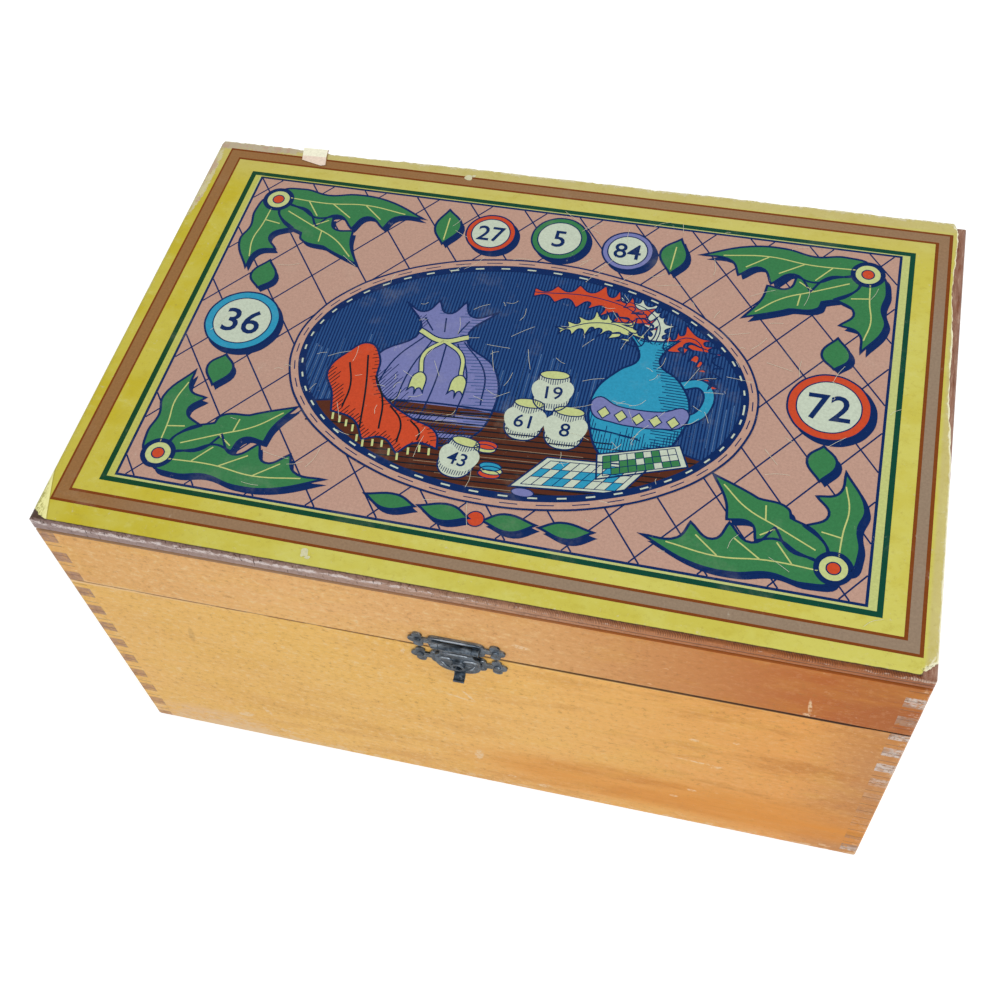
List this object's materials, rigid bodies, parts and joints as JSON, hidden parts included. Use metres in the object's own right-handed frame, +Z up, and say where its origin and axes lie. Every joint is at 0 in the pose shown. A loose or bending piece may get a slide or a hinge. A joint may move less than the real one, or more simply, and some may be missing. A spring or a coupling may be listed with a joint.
{
  "type": "lotto game",
  "caption": "Comb-jointed wooden lotto box, hinged lid with paper label, stamped catch, cards, number pieces, counters and drawing bag inside.",
  "frame": {"origin": "centre of the base's underside, on the surface the box stands on", "axes": "+X to the right seen from the front, -Y out of the front, where the catch is, +Z up"},
  "size_m": [0.268, 0.1774, 0.1413],
  "materials": {
    "box_wood": "old varnish, golden orange",
    "nosed_wood": "dark stained, worn",
    "inner_wood": "bare, slightly dusty",
    "label_paper": "printed, varnished, scratched",
    "catch_iron": "blackened, worn",
    "hinge_brass": "tarnished",
    "brad_steel": "dull",
    "card_board": "printed, aged",
    "bag_cloth": "plain woven linen",
    "piece_wood": "turned, lightly waxed",
    "counter_board": "stained in several colours"
  },
  "bodies": {
    "base": {"base_front_board": "box_wood", "base_rear_board": "box_wood", "base_left_board": "box_wood", "base_right_board": "box_wood", "bottom_panel": "inner_wood", "bottom_brads": "brad_steel", "cross_divider": "inner_wood", "short_divider": "inner_wood", "left_hinge_base_leaf": "hinge_brass", "left_hinge_pin": "hinge_brass", "right_hinge_base_leaf": "hinge_brass", "right_hinge_pin": "hinge_brass", "hinge_base_nails": "hinge_brass", "catch_keeper": "catch_iron", "catch_keeper_nails": "catch_iron", "card_01": "card_board", "card_02": "card_board", "card_03": "card_board", "card_04": "card_board", "card_05": "card_board", "card_06": "card_board", "card_07": "card_board", "card_08": "card_board", "card_09": "card_board", "card_10": "card_board", "card_11": "card_board", "card_12": "card_board", "card_13": "card_board", "card_14": "card_board", "card_15": "card_board", "card_16": "card_board", "card_17": "card_board", "card_18": "card_board", "card_19": "card_board", "card_20": "card_board", "card_21": "card_board", "card_22": "card_board", "card_23": "card_board", "card_24": "card_board", "drawing_bag": "bag_cloth", "number_pieces": "piece_wood", "counters": "counter_board"},
    "lid": {"lid_front_board": "box_wood", "lid_rear_board": "box_wood", "lid_left_board": "box_wood", "lid_right_board": "box_wood", "top_board": "nosed_wood", "lid_label": "label_paper", "left_hinge_lid_leaf": "hinge_brass", "right_hinge_lid_leaf": "hinge_brass", "hinge_lid_nails": "hinge_brass", "catch_plate": "catch_iron", "catch_plate_nails": "catch_iron", "catch_pin": "catch_iron"},
    "hasp": {"catch_hasp": "catch_iron"}
  },
  "joints": [
    {"name": "lid_hinge", "type": "hinge", "parent": "base", "child": "lid", "pos_m": [0, 0.0866, 0.10415], "axis": [-1, 0, 0], "range_deg": [0, 180]},
    {"name": "hasp_pivot", "type": "hinge", "parent": "lid", "child": "hasp", "pos_m": [-0.0018, -0.0864, 0.10885], "axis": [-1, 0, 0], "range_deg": [0, 160]}
  ]
}
